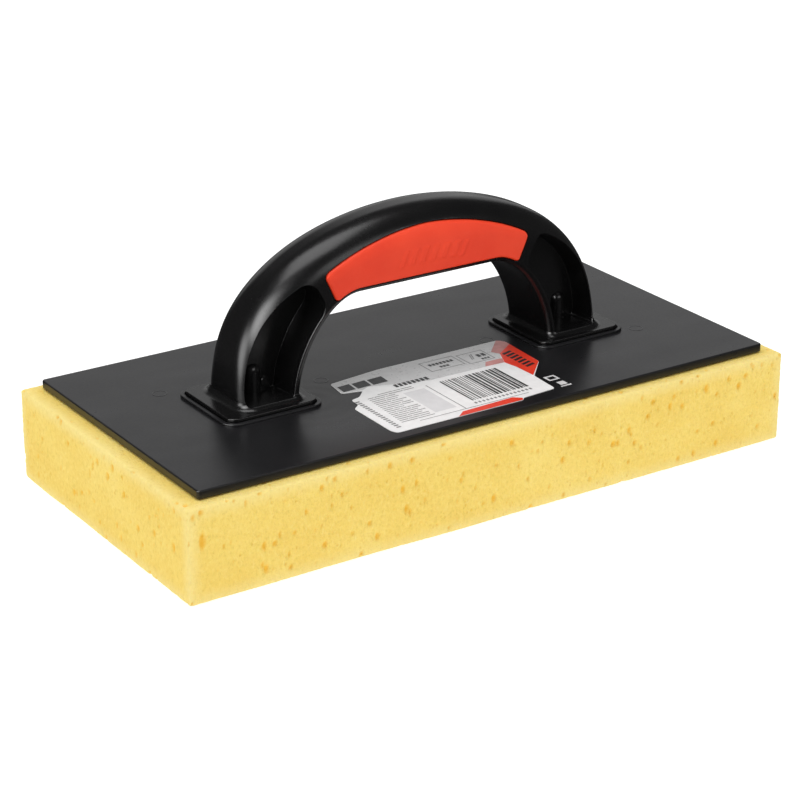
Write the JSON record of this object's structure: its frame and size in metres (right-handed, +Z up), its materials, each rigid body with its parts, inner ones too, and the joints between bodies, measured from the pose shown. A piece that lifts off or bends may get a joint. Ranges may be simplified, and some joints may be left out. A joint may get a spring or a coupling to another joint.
{
  "type": "sponge float",
  "caption": "Hand float with a cellular sponge block bonded under a flat plastic plate, and an arched handle with recessed legs and soft grip inlays.",
  "frame": {"origin": "middle of the sponge's flat working face, at the bottom of the float", "axes": "+X along the length of the plate and handle, +Y across it towards the side without the label, +Z up from the sponge to the handle"},
  "size_m": [0.284, 0.139, 0.1135],
  "materials": {
    "sponge": "matte",
    "adhesive": "matte",
    "plate_plastic": "satin",
    "handle_plastic": "satin",
    "soft_grip": "matte",
    "screw_steel": "satin",
    "label_film": "satin"
  },
  "bodies": {
    "root": {"sponge_pad": "sponge", "adhesive_layer": "adhesive", "backing_plate": "plate_plastic", "handle_body": "handle_plastic", "grip_inset_front": "soft_grip", "grip_inset_rear": "soft_grip", "left_foot_screw": "screw_steel", "right_foot_screw": "screw_steel", "product_label": "label_film"}
  },
  "joints": []
}
